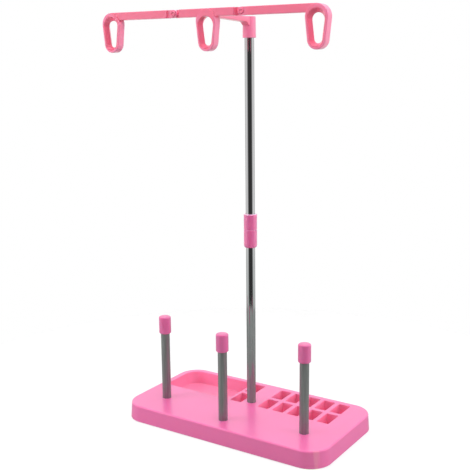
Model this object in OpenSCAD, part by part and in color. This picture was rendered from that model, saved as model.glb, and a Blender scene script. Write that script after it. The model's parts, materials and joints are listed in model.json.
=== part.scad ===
// Thread rack: a tray base with bobbin wells, three capped spool pins, a two-piece steel mast,
// and a guide bar whose two side arms fold down about rivets.
// X runs along the base, Y from front to back, Z up. The origin is on the floor, below the middle of
// the guide bar and halfway between the base's front and back.

/* [Base] */
// Length of the base along its top edge
base_length = 240; // [222:1:320]
// Depth of the base, front to back, along its top edge
base_depth = 127.4; // [124:0.2:180]
// Height of the base moulding
base_height = 17.4; // [16:0.2:30]
// How far the side walls spread outwards from top to bottom
base_draft = 1; // [0.2:0.1:3]
// How far the middle of the base stands to the right of the mast
base_shift = 2.5; // [-4:0.1:6]
// Corner radius of the base, seen from above
corner_radius = 22.6; // [16:0.2:30]
// Rounding of the top edge
edge_rounding = 1.8; // [0.6:0.1:3]
// Thickness of the outer wall and of the top
shell_wall = 2.4; // [1.6:0.1:3.2]
// Thickness of the tray floor and the well floors
floor_thickness = 2; // [1:0.1:3]
// Height of the floors' undersides above the lower rim of the base
floor_lift = 0.7; // [0.7:0.1:3]
// Thickness of the ribs under the front land
rib_thickness = 1.6; // [1:0.1:3]
// Depth of the ribs below the top plate
rib_depth = 9; // [4:0.5:12]

/* [Tray and wells] */
// Land between the left edge of the base and the tray
tray_rim = 7.5; // [6:0.5:16]
// Land between the back edge of the base and the tray and wells
back_rim = 7.3; // [5:0.1:12]
// Wall between the tray and the pair of wells beside it
tray_divider = 3.4; // [1.6:0.1:8]
// Radius of the tray's back left corner
tray_back_radius = 16; // [6:0.5:22]
// Radius of the tray's front left corner
tray_front_radius = 10; // [4:0.5:18]
// Radius of the tray's two right corners
tray_inner_radius = 2.5; // [1:0.5:8]
// Width of a bobbin well, along the base
well_width = 13.2; // [11:0.1:14]
// Length of a bobbin well, front to back
well_length = 23.6; // [18:0.1:24.5]
// Rib between two wells side by side
well_rib = 4.7; // [1.5:0.1:6]
// Rib between the front and the back row of wells
row_rib = 5.3; // [1.5:0.1:6.5]
// Wells in each row of the grid on the right
grid_columns = 5; // [2:1:5]
// Wall of the tray and of the blocks of wells under the top
well_wall = 1.8; // [1.2:0.1:3]

/* [Pads] */
// Diameter of an anti-slip pad
pad_diameter = 12; // [8:0.5:16]
// Thickness of a pad
pad_thickness = 1.2; // [0.8:0.1:1.2]
// How far a pad stands below the rim of the base
pad_proud = 0.6; // [0.3:0.1:0.7]
// Distance from the base's edges to a pad's centre
pad_inset = 17.5; // [16:0.5:24]

/* [Spool pins] */
// Outer diameter of the steel tube that the pins and the mast are cut from
tube_diameter = 9.5; // [8:0.1:10.5]
// Wall of the steel tube
tube_wall = 0.8; // [0.5:0.1:1.2]
// How far the side pins stand in from the ends of a base centred on the mast
side_pin_end_inset = 34; // [30:1:56]
// Distance from the front edge of the base to the side pins
side_pin_inset = 36.8; // [30:0.1:44]
// Distance from the front edge of the base to the middle pin
middle_pin_inset = 20.4; // [14:0.1:30]
// Length of pin that shows between the base and the cap
pin_reach = 74; // [40:0.1:140]
// Depth of a pin's socket in the base
pin_socket_depth = 13.6; // [8:0.1:14]
// Outer diameter of the bosses under the pins
pin_boss_diameter = 14; // [13:0.1:18]
// Diameter of a cap
cap_diameter = 12.9; // [12.3:0.1:20]
// Length of a cap
cap_length = 19.2; // [10:0.1:30]
// Solid end of a cap above the pin
cap_end = 4; // [2.5:0.1:8]
// Rounding of a cap's upper edge
cap_rounding = 1.6; // [0.4:0.1:2.4]
// Bevel of a cap's lower edge
cap_bevel = 0.9; // [0.2:0.1:1]

/* [Mast] */
// Distance from the front end of the wells to the mast
mast_setback = 7.8; // [7.6:0.1:14]
// Clear land from the mast's centre to the wells on its left
pair_gap = 9.2; // [9.1:0.1:12]
// Clear land from the mast's centre to the wells on its right
grid_gap = 12.2; // [9.1:0.1:14]
// Depth of the mast's socket in the base
mast_socket_depth = 12; // [8:0.1:12]
// Outer diameter of the boss under the mast
mast_boss_diameter = 15; // [14:0.1:17]
// Height of the joint between the two tubes above the top of the base
joint_height = 190.9; // [120:0.1:260]
// Height of the upper tube's end above the joint
upper_reach = 212.6; // [120:0.1:260]
// Outer diameter of the coupling sleeves
sleeve_diameter = 13.9; // [12.4:0.1:18]
// Length of the coupling's lower sleeve
lower_sleeve_length = 18.7; // [10:0.1:30]
// Length of the coupling's upper sleeve
upper_sleeve_length = 16.7; // [10:0.1:30]
// Length of the bevel at the lower end of the coupling
sleeve_bevel = 1.5; // [0.5:0.1:4]
// How much of the sleeve's wall that bevel takes off
sleeve_bevel_share = 0.45; // [0.2:0.05:0.8]
// Small bevel on the sleeves' other edges
sleeve_rim_bevel = 0.5; // [0.2:0.1:0.6]
// Length of the spigot in each tube
spigot_length = 25; // [12:0.5:40]

/* [Mast screw] */
// Diameter of the screw's shank
screw_diameter = 5; // [4:0.1:5]
// Length of the shank
screw_length = 14; // [12:0.5:18]
// Diameter of the screw's head
screw_head_diameter = 9.4; // [8.4:0.1:10]
// Height of the screw's head
screw_head_height = 1.8; // [1.2:0.1:1.8]
// Diameter of the washer
washer_diameter = 12; // [10.5:0.1:13.5]
// Thickness of the washer
washer_thickness = 1; // [0.6:0.1:1]
// Length of the threaded insert in the tube's foot
insert_length = 15; // [13:0.5:30]

/* [Guide head] */
// Distance from the mast to the middle of the guide bar, forwards
bar_reach = 71; // [50:0.5:110]
// Height of the guide bar
bar_height = 7.4; // [6:0.1:10]
// Depth of the guide bar, front to back
bar_depth = 8; // [6.6:0.1:12]
// Height of the bar's top above the socket's top
bar_rise = 4.7; // [4.2:0.1:5.4]
// Length of the socket on the mast
socket_length = 20.6; // [14:0.1:40]
// Diameter of the socket at its lower end
socket_diameter = 13.5; // [12.6:0.1:20]
// Narrowing of the socket's diameter towards its top
socket_taper = 0.7; // [0.1:0.1:1]
// Thickness of the socket's closed top
socket_end = 2.5; // [1.5:0.1:4]
// Width of the bracket's arm
arm_width = 8; // [5:0.1:12]
// Thickness of the bracket's arm where it meets the bar
arm_tip_thickness = 2.6; // [2:0.1:3]
// Thickness of the bracket's arm where it meets the socket
arm_root_thickness = 5.4; // [3.5:0.1:8]
// Size of the web under the arm at the socket
arm_web = 3.2; // [1:0.1:5]

/* [Thread loops] */
// Distance between neighbouring loops
loop_spacing = 114.7; // [96:0.1:150]
// Height of a loop, from the top of the bar
loop_height = 38.6; // [34:0.1:60]
// Outer radius of a loop's wide upper end
loop_top_radius = 11.1; // [10:0.1:14]
// Outer radius of a loop's narrow lower end
loop_bottom_radius = 9; // [8:0.1:10]
// Depth of a loop, front to back, beyond the bar's depth
loop_proud = 0.6; // [0.2:0.1:2]
// Width of the flat rim round a loop's mouth
loop_rim = 2.6; // [1.5:0.1:3.5]
// Width of the rounded lip from the rim in to the throat
loop_lip = 2.7; // [1:0.1:3]
// Height of the solid part over the throat
loop_bridge = 7.6; // [6.5:0.1:9]
// Height of the solid part over the mouth of an end loop
end_mouth_bridge = 4.2; // [3.6:0.1:6]
// Height of the solid part over the mouth of the middle loop
middle_mouth_bridge = 7; // [6:0.1:7.4]

/* [Folding joints] */
// Distance from the middle loop to each rivet
pivot_spacing = 38; // [28:0.1:46]
// Distance from a rivet to the full section of the bar on each side
shoulder_distance = 7; // [6:0.1:10]
// Thickness of one lug
lug_thickness = 3.2; // [1.4:0.1:3.3]
// Diameter of the rivet
rivet_diameter = 3; // [2:0.1:4]
// Diameter of the rivet's heads
rivet_head_diameter = 5.6; // [5:0.1:6]
// Height of the rivet's heads
rivet_head_height = 1; // [0.6:0.1:1.4]
// Diameter of the dimple in the front head
rivet_dimple_diameter = 3; // [1.5:0.1:3.5]
// Depth of that dimple
rivet_dimple_depth = 0.5; // [0.2:0.1:0.6]

/* [Clearances] */
// Radial clearance of pieces that are pressed together
press_clearance = 0.02; // [0.01:0.01:0.03]
// Radial clearance of pieces that slide or turn in one another
running_clearance = 0.05; // [0.03:0.01:0.09]
// Space between the two lugs of a folding joint
lug_gap = 0.2; // [0.1:0.05:0.4]
// Space between each tube's end and the joint's plane
tube_end_gap = 0.3; // [0.1:0.1:0.8]

/* [Hidden] */
$fn = 96;

pink = [0.96, 0.57, 0.76];
coral = [0.94, 0.45, 0.58];
steel = [0.72, 0.73, 0.75];
grey_rubber = [0.25, 0.25, 0.27];

overcut = 1; // how far a cutting solid runs past the surface that it opens
outline_steps = 24; // chords in each round end of a loop's outline
facet_steps = 48; // facets round a corner shape that is blended by a hull
level_thickness = 0.01; // thickness of the slices that a hull joins

// heights
rim_z = pad_proud;
top_z = rim_z + base_height;
under_top_z = top_z - shell_wall;
floor_underside_z = rim_z + floor_lift;
floor_z = floor_underside_z + floor_thickness;
pin_foot_z = top_z - pin_socket_depth;
mast_foot_z = top_z - mast_socket_depth;
boss_floor = 1.5; // thickness of the closed end under a spool pin's socket
mast_boss_floor = 2.4; // thickness of the web that the mast's screw clamps
mast_boss_z = mast_foot_z - mast_boss_floor;
joint_z = top_z + joint_height;
upper_tube_top_z = joint_z + upper_reach;
cap_z = top_z + pin_reach;

// plan of the base
left_x = base_shift - base_length / 2;
front_y = -base_depth / 2;
wells_back_y = base_depth / 2 - back_rim;
wells_front_y = wells_back_y - 2 * well_length - row_rib;
mast_y = wells_front_y + mast_setback;
pair_x = -pair_gap - well_width;
grid_x = grid_gap;
tray_left_x = left_x + tray_rim;
tray_right_x = pair_x - tray_divider;
well_pitch = well_width + well_rib;
row_pitch = well_length + row_rib;
pad_x = [left_x + pad_inset, left_x + base_length - pad_inset];
pad_y = [front_y + pad_inset, front_y + base_depth - pad_inset];
pin_spacing = base_length / 2 - side_pin_end_inset;
pin_x = [-pin_spacing, 0, pin_spacing];
pin_y = [front_y + side_pin_inset, front_y + middle_pin_inset, front_y + side_pin_inset];

// tubes and what fits them
tube_radius = tube_diameter / 2;
tube_bore = tube_radius - tube_wall;
pressed_bore = tube_radius + press_clearance;
running_bore = tube_radius + running_clearance;
spigot_radius = tube_bore - running_clearance;
washer_bore = screw_diameter / 2 + 0.15; // clearance hole of the washer and the base

// guide head
socket_top_z = upper_tube_top_z + socket_end;
socket_radius = socket_diameter / 2;
bar_top_z = socket_top_z + bar_rise;
bar_bottom_z = bar_top_z - bar_height;
bar_mid_z = bar_top_z - bar_height / 2;
bar_back_y = mast_y - bar_reach + bar_depth / 2;
bar_front_y = bar_back_y - bar_depth;
loop_front_y = bar_front_y - loop_proud;
loop_depth = bar_depth + loop_proud;
loop_wall = loop_rim + loop_lip;
arm_lug_back_y = bar_back_y - lug_thickness - lug_gap;
lug_radius = bar_height / 2;
pivot_bore = rivet_diameter / 2 + running_clearance;
rivet_seat_gap = 0.1; // play under the rivet's front head

// Rounded rectangle about the origin, from two squares and four circles
module rounded_rectangle(length, depth, radius, steps = $fn) {
    square([length - 2 * radius, depth], center = true);
    square([length, depth - 2 * radius], center = true);
    for (sx = [-1, 1], sy = [-1, 1])
        translate([sx * (length / 2 - radius), sy * (depth / 2 - radius)])
            circle(radius, $fn = steps);
}

// What a rounded corner takes off a square one; the corner is at the origin, the shape towards +X +Y
module corner_waste(radius) {
    difference() {
        translate([-overcut, -overcut]) square(radius + overcut);
        translate([radius, radius]) circle(radius);
    }
}

// Plan of the tray, with its own radius at each corner
module tray_plan() {
    difference() {
        translate([tray_left_x, wells_front_y])
            square([tray_right_x - tray_left_x, wells_back_y - wells_front_y]);
        translate([tray_left_x, wells_front_y]) corner_waste(tray_front_radius);
        translate([tray_right_x, wells_front_y]) mirror([1, 0]) corner_waste(tray_inner_radius);
        translate([tray_right_x, wells_back_y]) rotate(180) corner_waste(tray_inner_radius);
        translate([tray_left_x, wells_back_y]) mirror([0, 1]) corner_waste(tray_back_radius);
    }
}

// Plan of a block of wells with its lower left corner at x
module wells_plan(x, columns) {
    for (column = [0 : columns - 1], row = [0, 1])
        translate([x + column * well_pitch, wells_front_y + row * row_pitch])
            square([well_width, well_length]);
}

// Plan of the walls round a block of wells, closed across the ribs
module wells_block_plan(x, columns) {
    translate([x - well_wall, wells_front_y - well_wall])
        square([columns * well_pitch - well_rib + 2 * well_wall, row_pitch + well_length + 2 * well_wall]);
}

// One level of the base's outside: inset from the top outline, at a height
module base_level(inset, z) {
    translate([base_shift, 0, z])
        linear_extrude(level_thickness)
            rounded_rectangle(base_length - 2 * inset, base_depth - 2 * inset,
                              corner_radius - inset, facet_steps);
}

// Outside of the base: drafted walls under a rounded top edge
module base_outside() {
    edge_arc_steps = 4;
    hull() {
        base_level(-base_draft, rim_z);
        for (step = [0 : edge_arc_steps])
            let (angle = 90 * step / edge_arc_steps)
                base_level(edge_rounding * (1 - cos(angle)),
                           top_z - edge_rounding * (1 - sin(angle)) - level_thickness);
    }
}

// Space under the top, open at the bottom
module base_cavity() {
    translate([base_shift, 0, rim_z - overcut])
        linear_extrude(under_top_z - rim_z + overcut)
            rounded_rectangle(base_length - 2 * shell_wall, base_depth - 2 * shell_wall,
                              corner_radius - shell_wall);
}

// Walls, bosses and ribs that stand in the cavity
module base_inside() {
    translate([0, 0, floor_underside_z])
        linear_extrude(under_top_z - floor_underside_z) {
            offset_tray();
            wells_block_plan(pair_x, 1);
            wells_block_plan(grid_x, grid_columns);
        }
    for (i = [0 : 2])
        translate([pin_x[i], pin_y[i], pin_foot_z - boss_floor])
            cylinder(h = under_top_z - pin_foot_z + boss_floor, d = pin_boss_diameter);
    translate([0, mast_y, mast_boss_z])
        cylinder(h = under_top_z - mast_boss_z, d = mast_boss_diameter);
    for (x = pad_x, y = pad_y)
        translate([x, y, rim_z]) cylinder(h = under_top_z - rim_z, d = pad_diameter + 2 * well_wall);
    for (i = [0 : 2])
        translate([pin_x[i] - rib_thickness / 2, front_y + shell_wall / 2, under_top_z - rib_depth])
            cube([rib_thickness, wells_front_y - front_y - shell_wall / 2, rib_depth]);
    translate([pin_x[0], pin_y[0] - rib_thickness / 2, under_top_z - rib_depth])
        cube([2 * pin_spacing, rib_thickness, rib_depth]);
}

// The tray's plan with its wall round it
module offset_tray() {
    translate([tray_left_x - well_wall, wells_front_y - well_wall])
        difference() {
            square([tray_right_x - tray_left_x + 2 * well_wall,
                    wells_back_y - wells_front_y + 2 * well_wall]);
            corner_waste(tray_front_radius + well_wall);
            translate([0, wells_back_y - wells_front_y + 2 * well_wall])
                mirror([0, 1]) corner_waste(tray_back_radius + well_wall);
        }
}

module base() {
    color(pink)
        difference() {
            union() {
                difference() {
                    base_outside();
                    base_cavity();
                }
                base_inside();
            }
            translate([0, 0, floor_z])
                linear_extrude(top_z - floor_z + overcut) {
                    tray_plan();
                    wells_plan(pair_x, 1);
                    wells_plan(grid_x, grid_columns);
                }
            for (i = [0 : 2])
                translate([pin_x[i], pin_y[i], pin_foot_z])
                    cylinder(h = pin_socket_depth + overcut, r = pressed_bore);
            translate([0, mast_y, mast_foot_z])
                cylinder(h = mast_socket_depth + overcut, r = pressed_bore);
            translate([0, mast_y, mast_boss_z - overcut])
                cylinder(h = mast_boss_floor + 2 * overcut, r = washer_bore);
            for (x = pad_x, y = pad_y)
                translate([x, y, rim_z - overcut])
                    cylinder(h = pad_thickness - pad_proud + overcut, r = pad_diameter / 2 + press_clearance);
        }
}

module anti_slip_pads() {
    color(grey_rubber)
        for (x = pad_x, y = pad_y)
            translate([x, y, 0]) cylinder(h = pad_thickness, d = pad_diameter);
}

// A length of the steel tube, standing on its place
module tube(x, y, z, length) {
    color(steel)
        translate([x, y, z])
            difference() {
                cylinder(h = length, r = tube_radius);
                translate([0, 0, -overcut]) cylinder(h = length + 2 * overcut, r = tube_bore);
            }
}

module mast_lower_tube() {
    tube(0, mast_y, mast_foot_z, joint_z - tube_end_gap - mast_foot_z);
}

module mast_upper_tube() {
    tube(0, mast_y, joint_z + tube_end_gap, upper_tube_top_z - joint_z - tube_end_gap);
}

module mast_foot_insert() {
    color(steel)
        translate([0, mast_y, mast_foot_z])
            difference() {
                cylinder(h = insert_length, r = tube_bore - press_clearance);
                translate([0, 0, -overcut])
                    cylinder(h = insert_length + 2 * overcut, r = screw_diameter / 2 + press_clearance);
            }
}

module mast_washer() {
    color(steel)
        translate([0, mast_y, mast_boss_z - washer_thickness])
            difference() {
                cylinder(h = washer_thickness, d = washer_diameter);
                translate([0, 0, -overcut]) cylinder(h = washer_thickness + 2 * overcut, r = washer_bore);
            }
}

module mast_screw() {
    head_top_z = mast_boss_z - washer_thickness;
    slot_width = 1.2;
    slot_length = 5;
    slot_depth = 1;
    color(steel)
        translate([0, mast_y, head_top_z - screw_head_height])
            difference() {
                union() {
                    cylinder(h = screw_head_height, d = screw_head_diameter);
                    cylinder(h = screw_head_height + screw_length, d = screw_diameter);
                }
                for (turn = [0, 90])
                    rotate(turn)
                        translate([-slot_length / 2, -slot_width / 2, -overcut])
                            cube([slot_length, slot_width, slot_depth + overcut]);
            }
}

// Coupling sleeve with the end that meets the other sleeve at the origin and its tube end up
module sleeve(length, bevel_length, bevel_depth) {
    outer = sleeve_diameter / 2;
    rotate_extrude()
        polygon([
            [pressed_bore, 0], [outer - sleeve_rim_bevel, 0], [outer, sleeve_rim_bevel],
            [outer, length - bevel_length], [outer - bevel_depth, length], [pressed_bore, length]
        ]);
}

module lower_coupling_sleeve() {
    color(pink) translate([0, mast_y, joint_z]) mirror([0, 0, 1])
        sleeve(lower_sleeve_length, sleeve_bevel,
               (sleeve_diameter / 2 - pressed_bore) * sleeve_bevel_share);
}

module upper_coupling_sleeve() {
    color(pink) translate([0, mast_y, joint_z])
        sleeve(upper_sleeve_length, sleeve_rim_bevel, sleeve_rim_bevel);
}

// Steel spigot: pressed in the lower tube, a sliding fit in the upper one
module coupling_spigot() {
    tip_bevel = 1;
    color(steel)
        translate([0, mast_y, joint_z]) {
            translate([0, 0, -spigot_length]) cylinder(h = spigot_length, r = tube_bore - press_clearance);
            cylinder(h = spigot_length - tip_bevel, r = spigot_radius);
            translate([0, 0, spigot_length - tip_bevel])
                cylinder(h = tip_bevel, r1 = spigot_radius, r2 = spigot_radius - tip_bevel);
        }
}

module spool_pin(i) {
    tube(pin_x[i], pin_y[i], pin_foot_z, cap_z + cap_length - cap_end - pin_foot_z);
}

module left_spool_pin() { spool_pin(0); }
module middle_spool_pin() { spool_pin(1); }
module right_spool_pin() { spool_pin(2); }

// Cap turned from its profile: bevelled below, rounded above, blind bore from below
module pin_cap(i) {
    outer = cap_diameter / 2;
    arc_steps = 8;
    rounded_edge = [
        for (step = [0 : arc_steps])
            let (angle = 90 * step / arc_steps)
                [outer - cap_rounding * (1 - cos(angle)), cap_length - cap_rounding * (1 - sin(angle))]
    ];
    color(coral)
        translate([pin_x[i], pin_y[i], cap_z])
            rotate_extrude()
                polygon(concat(
                    [[running_bore, 0], [outer - cap_bevel, 0], [outer, cap_bevel]],
                    rounded_edge,
                    [[0, cap_length], [0, cap_length - cap_end], [running_bore, cap_length - cap_end]]
                ));
}

module left_pin_cap() { pin_cap(0); }
module middle_pin_cap() { pin_cap(1); }
module right_pin_cap() { pin_cap(2); }

// Outline of a tapered loop: two arcs joined by their common tangents. The upper arc has radius
// upper and its top at top_z, the lower arc has radius lower and its bottom at bottom_z.
function loop_outline(upper, lower, top, bottom) =
    let (
        upper_z = top - upper,
        lower_z = bottom + lower,
        slant = asin((upper - lower) / (upper_z - lower_z))
    )
    concat(
        [for (step = [0 : outline_steps])
            let (angle = -slant + (180 + 2 * slant) * step / outline_steps)
                [upper * cos(angle), upper_z + upper * sin(angle)]],
        [for (step = [0 : outline_steps])
            let (angle = 180 + slant + (180 - 2 * slant) * step / outline_steps)
                [lower * cos(angle), lower_z + lower * sin(angle)]]
    );

// A flat shape drawn in X and Z, carried from y_front back by a depth
module upright(y_front, depth) {
    translate([0, y_front + depth, 0]) rotate([90, 0, 0]) linear_extrude(depth) children();
}

module loop_body() {
    upright(loop_front_y, loop_depth)
        polygon(loop_outline(loop_top_radius, loop_bottom_radius, bar_top_z, bar_top_z - loop_height));
}

module throat_outline() {
    polygon(loop_outline(loop_top_radius - loop_wall, loop_bottom_radius - loop_wall,
                         bar_top_z - loop_bridge, bar_top_z - loop_height + loop_wall));
}

// The opening of a loop: a mouth at the front and at the back, both narrowing to the throat
module loop_opening(mouth_bridge) {
    throat_y = loop_front_y + loop_depth / 2;
    for (side = [-1, 1])
        hull() {
            upright(throat_y + side * loop_depth / 2 - level_thickness / 2, level_thickness)
                polygon(loop_outline(loop_top_radius - loop_rim, loop_bottom_radius - loop_rim,
                                     bar_top_z - mouth_bridge, bar_top_z - loop_height + loop_rim));
            upright(throat_y - level_thickness / 2, level_thickness) throat_outline();
        }
    upright(loop_front_y - overcut, loop_depth + 2 * overcut) throat_outline();
}

// Lug of a folding joint: a round eye about the rivet and the strip that joins it to the bar
module lug(y_front, towards) {
    upright(y_front, lug_thickness)
        translate([pivot_spacing, bar_mid_z]) {
            circle(lug_radius);
            translate([towards > 0 ? 0 : -shoulder_distance - overcut, -lug_radius])
                square([shoulder_distance + overcut, bar_height]);
        }
}

module rivet_hole(radius) {
    upright(bar_front_y, bar_depth) translate([pivot_spacing, bar_mid_z]) circle(radius);
}

// Stretch of the full bar between two distances from the middle loop
module bar_stretch(x_from, x_to) {
    translate([x_from, bar_front_y, bar_bottom_z]) cube([x_to - x_from, bar_depth, bar_height]);
}

// Side arm on the right of the middle loop; the left arm is its mirror image
module guide_arm() {
    difference() {
        union() {
            bar_stretch(pivot_spacing + shoulder_distance, loop_spacing);
            translate([loop_spacing, 0, 0]) loop_body();
            lug(arm_lug_back_y - lug_thickness, 1);
        }
        translate([loop_spacing, 0, 0]) loop_opening(end_mouth_bridge);
        rivet_hole(pivot_bore);
    }
}

module right_guide_arm() {
    color(coral) guide_arm();
}

module left_guide_arm() {
    color(coral) mirror([1, 0, 0]) guide_arm();
}

// Socket on the mast, arm forwards, middle of the bar with its loop, and the two rear lugs
module guide_head() {
    half_bar = pivot_spacing - shoulder_distance;
    socket_front_y = mast_y - socket_radius;
    arm_top_z = socket_top_z;
    color(coral)
        difference() {
            union() {
                translate([0, mast_y, socket_top_z - socket_length])
                    cylinder(h = socket_length, r1 = socket_radius, r2 = socket_radius - socket_taper / 2);
                translate([-arm_width / 2, 0, 0])
                    rotate([90, 0, 90])
                        linear_extrude(arm_width)
                            polygon([
                                [mast_y, arm_top_z], [bar_back_y - overcut, arm_top_z],
                                [bar_back_y - overcut, arm_top_z - arm_tip_thickness],
                                [bar_back_y, arm_top_z - arm_tip_thickness],
                                [socket_front_y - arm_web, arm_top_z - arm_root_thickness],
                                [socket_front_y, arm_top_z - arm_root_thickness - arm_web],
                                [mast_y, arm_top_z - arm_root_thickness - arm_web]
                            ]);
                bar_stretch(-half_bar, half_bar);
                loop_body();
                lug(bar_back_y - lug_thickness, -1);
                mirror([1, 0, 0]) lug(bar_back_y - lug_thickness, -1);
            }
            loop_opening(middle_mouth_bridge);
            rivet_hole(rivet_diameter / 2 + press_clearance);
            mirror([1, 0, 0]) rivet_hole(rivet_diameter / 2 + press_clearance);
            translate([0, mast_y, socket_top_z - socket_length - overcut])
                cylinder(h = socket_length - socket_end + overcut, r = running_bore);
        }
}

// Rivet through both lugs, with a low head at the front in the recess and one behind
module arm_rivet() {
    front_seat_y = arm_lug_back_y - lug_thickness - rivet_seat_gap;
    head_taper = 1; // a head's diameter is this much smaller at its face
    translate([pivot_spacing, 0, bar_mid_z])
        rotate([90, 0, 0])
            difference() {
                union() {
                    translate([0, 0, -bar_back_y])
                        cylinder(h = bar_back_y - front_seat_y, d = rivet_diameter);
                    translate([0, 0, -front_seat_y])
                        cylinder(h = rivet_head_height, d1 = rivet_head_diameter,
                                 d2 = rivet_head_diameter - head_taper);
                    translate([0, 0, -bar_back_y - rivet_head_height])
                        cylinder(h = rivet_head_height, d1 = rivet_head_diameter - head_taper,
                                 d2 = rivet_head_diameter);
                }
                translate([0, 0, rivet_head_height - front_seat_y - rivet_dimple_depth])
                    cylinder(h = rivet_dimple_depth + overcut, d = rivet_dimple_diameter);
            }
}

module right_arm_rivet() {
    color(coral) arm_rivet();
}

module left_arm_rivet() {
    color(coral) mirror([1, 0, 0]) arm_rivet();
}

base();
anti_slip_pads();
mast_lower_tube();
mast_foot_insert();
mast_screw();
mast_washer();
lower_coupling_sleeve();
coupling_spigot();
upper_coupling_sleeve();
mast_upper_tube();
guide_head();
left_guide_arm();
right_guide_arm();
left_arm_rivet();
right_arm_rivet();
left_spool_pin();
middle_spool_pin();
right_spool_pin();
left_pin_cap();
middle_pin_cap();
right_pin_cap();
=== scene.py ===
import json
import math

import bmesh
import bpy
import numpy as np
from mathutils import Matrix, Vector
from mathutils.geometry import delaunay_2d_cdt


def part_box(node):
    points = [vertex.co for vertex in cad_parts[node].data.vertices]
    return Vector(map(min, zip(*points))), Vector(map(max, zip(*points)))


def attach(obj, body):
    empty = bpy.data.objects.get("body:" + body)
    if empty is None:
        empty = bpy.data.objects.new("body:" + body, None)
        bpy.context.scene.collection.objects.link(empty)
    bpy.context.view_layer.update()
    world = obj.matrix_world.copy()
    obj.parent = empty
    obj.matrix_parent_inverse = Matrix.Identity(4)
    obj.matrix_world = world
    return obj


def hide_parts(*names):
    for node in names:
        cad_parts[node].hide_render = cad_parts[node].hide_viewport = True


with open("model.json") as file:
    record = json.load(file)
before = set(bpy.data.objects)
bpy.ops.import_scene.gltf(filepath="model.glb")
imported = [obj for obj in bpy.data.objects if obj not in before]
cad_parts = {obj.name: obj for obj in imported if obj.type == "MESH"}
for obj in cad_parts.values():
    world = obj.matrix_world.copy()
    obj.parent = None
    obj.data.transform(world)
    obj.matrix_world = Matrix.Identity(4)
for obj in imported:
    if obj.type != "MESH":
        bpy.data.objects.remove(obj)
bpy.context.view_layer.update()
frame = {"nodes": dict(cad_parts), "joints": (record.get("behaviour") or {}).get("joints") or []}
mm = 0.001
tiny = 1e-6  # stands for nothing where a division needs more than nothing
leastRadius = 0.05 * mm  # of a corner that is drawn in
mergeDistance, shortestEdge = 0.002 * mm, 0.001 * mm
sharpAngle = math.radians(32)  # edges sharper than this stay hard
scene = bpy.context.scene
print("frame loaded:", len(frame["nodes"]), "nodes")

# The camera stands at the photograph's angle and looks at a point halfway up the mast.
cameraView = {
    "azimuth": 33.352,  # degrees from the front, towards the right end
    "elevation": 11.757,
    "roll": -0.561,
    "distance": 0.87795,
    "target": (-0.01163, 0.0, 0.2038),
    "lens": 64.7,  # mm
    "sensor": 36,  # mm wide
    "clip": (0.01, 20),
}


def makeCamera(v):
    # The back axis runs from the target along azimuth and elevation; roll turns the camera about it.
    azimuth, elevation, roll = (math.radians(v[k]) for k in ("azimuth", "elevation", "roll"))
    back = Vector((math.sin(azimuth) * math.cos(elevation), -math.cos(azimuth) * math.cos(elevation),
                   math.sin(elevation)))
    right = Vector((math.cos(azimuth), math.sin(azimuth), 0))
    up = back.cross(right)
    side = right * math.cos(roll) + up * math.sin(roll)
    top = up * math.cos(roll) - right * math.sin(roll)
    data = bpy.data.cameras.new("photoCamera")
    data.lens = v["lens"]
    data.sensor_width = v["sensor"]
    data.clip_start, data.clip_end = v["clip"]
    camera = bpy.data.objects.new("photoCamera", data)
    turn = Matrix((side, top, back)).transposed().to_4x4()
    camera.matrix_world = Matrix.Translation(Vector(v["target"]) + back * v["distance"]) @ turn
    scene.collection.objects.link(camera)
    scene.camera = camera


makeCamera(cameraView)
scene.view_settings.view_transform = "Standard"
print("camera placed")


# Shapes

def roundedPath(corners, radii, steps=8):
    # A closed outline whose corners are arcs tangent to both sides. Each arc swings the radius that
    # ends on one side evenly round to the radius that ends on the next.
    p = np.asarray(corners, float)
    r = np.maximum(np.broadcast_to(np.asarray(radii, float), len(p)), tiny)[:, None]
    toPrevious, toNext = np.roll(p, 1, 0) - p, np.roll(p, -1, 0) - p
    toPrevious /= np.linalg.norm(toPrevious, axis=1, keepdims=True)
    toNext /= np.linalg.norm(toNext, axis=1, keepdims=True)
    half = np.arccos(np.clip((toPrevious * toNext).sum(1, keepdims=True), -1, 1)) / 2
    middle = toPrevious + toNext
    middle /= np.linalg.norm(middle, axis=1, keepdims=True)
    centre = p + middle * r / np.sin(half)
    start = (p + toPrevious * r / np.tan(half) - centre)[:, None]
    end = (p + toNext * r / np.tan(half) - centre)[:, None]
    turn = (math.pi - 2 * half)[:, None]
    u = np.linspace(0, 1, steps)[None, :, None]
    arc = (np.sin((1 - u) * turn) * start + np.sin(u * turn) * end) / np.sin(turn)
    return (centre[:, None] + arc).reshape(-1, 2)


def rectangle(x0, x1, y0, y1, radii, steps=8):
    # Gives outline(inset): the rectangle drawn in by inset, its corner radii drawn in alike.
    def outline(inset=0.0):
        corners = [(x0 + inset, y0 + inset), (x1 - inset, y0 + inset), (x1 - inset, y1 - inset),
                   (x0 + inset, y1 - inset)]
        return roundedPath(corners, np.maximum(np.asarray(radii) - inset, leastRadius), steps)
    return outline


def circle(x, y, radius, steps=72):
    # Gives outline(inset): a circle about x, y with its radius drawn in by inset.
    def outline(inset=0.0):
        a = np.linspace(0, 2 * math.pi, steps, endpoint=False)
        return np.stack([x + (radius - inset) * np.cos(a), y + (radius - inset) * np.sin(a)], 1)
    return outline


def gridFaces(rows, columns, closed=False):
    # Four-sided faces between neighbouring rows; the columns always go round.
    r = np.arange(rows if closed else rows - 1)[:, None]
    c = np.arange(columns)[None, :]
    up, around = (r + 1) % rows, (c + 1) % columns
    return np.stack([r * columns + c, r * columns + around, up * columns + around, up * columns + c],
                    -1).reshape(-1, 4)


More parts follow.
